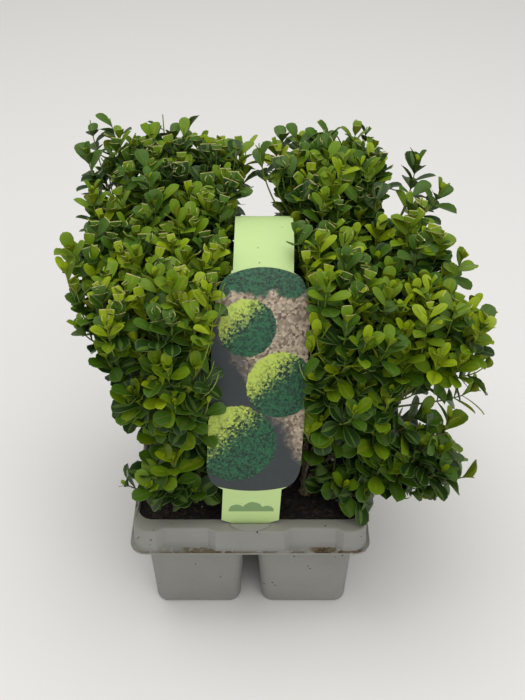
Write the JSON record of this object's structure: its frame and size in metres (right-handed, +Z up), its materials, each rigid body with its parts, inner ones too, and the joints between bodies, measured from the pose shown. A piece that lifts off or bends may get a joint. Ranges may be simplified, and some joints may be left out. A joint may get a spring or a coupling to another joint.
{
  "type": "cell tray of young clipped box plants",
  "caption": "Young box plants with clipped tops in a rigid two-row plastic cell tray, with an arched strap label over them as the handle.",
  "frame": {"origin": "on the ground, under the middle of the whole pack's bounding box, leaves included", "axes": "+Z up, +Y towards the back of the tray along its long side, +X to the right seen from the front"},
  "size_m": [0.2494, 0.2154, 0.2625],
  "materials": {
    "tray_plastic": "matt, scuffed and dusty",
    "compost": "rough, damp bark and fibre compost",
    "label_plastic": "thin printed sheet, satin",
    "bark": "fine rough bark, green when young",
    "foliage": "small leathery leaves, glossy above"
  },
  "bodies": {
    "root": {"tray": "tray_plastic", "compost": "compost", "strap": "label_plastic", "stem_front_left": "bark", "stem_front_right": "bark", "stem_middle_left": "bark", "stem_middle_right": "bark", "stem_rear_left": "bark", "stem_rear_right": "bark", "bough_front_left_outer": "bark", "bough_front_left_front": "bark", "bough_front_left_inner": "bark", "bough_front_right_outer": "bark", "bough_front_right_front": "bark", "bough_front_right_inner": "bark", "bough_middle_left_outer": "bark", "bough_middle_left_inner": "bark", "bough_middle_left_back": "bark", "bough_middle_right_outer": "bark", "bough_middle_right_inner": "bark", "bough_middle_right_back": "bark", "bough_rear_left_outer": "bark", "bough_rear_left_inner": "bark", "bough_rear_left_back": "bark", "bough_rear_right_outer": "bark", "bough_rear_right_inner": "bark", "bough_rear_right_back": "bark", "leaves_front_left_outer": "foliage", "leaves_front_left_front": "foliage", "leaves_front_left_inner": "foliage", "leaves_front_left_low": "foliage", "leaves_front_right_outer": "foliage", "leaves_front_right_front": "foliage", "leaves_front_right_inner": "foliage", "leaves_front_right_low": "foliage", "leaves_middle_left_outer": "foliage", "leaves_middle_left_inner": "foliage", "leaves_middle_left_back": "foliage", "leaves_middle_left_low": "foliage", "leaves_middle_right_outer": "foliage", "leaves_middle_right_inner": "foliage", "leaves_middle_right_back": "foliage", "leaves_middle_right_low": "foliage", "leaves_rear_left_outer": "foliage", "leaves_rear_left_inner": "foliage", "leaves_rear_left_back": "foliage", "leaves_rear_left_low": "foliage", "leaves_rear_right_outer": "foliage", "leaves_rear_right_inner": "foliage", "leaves_rear_right_back": "foliage", "leaves_rear_right_low": "foliage"}
  },
  "joints": []
}
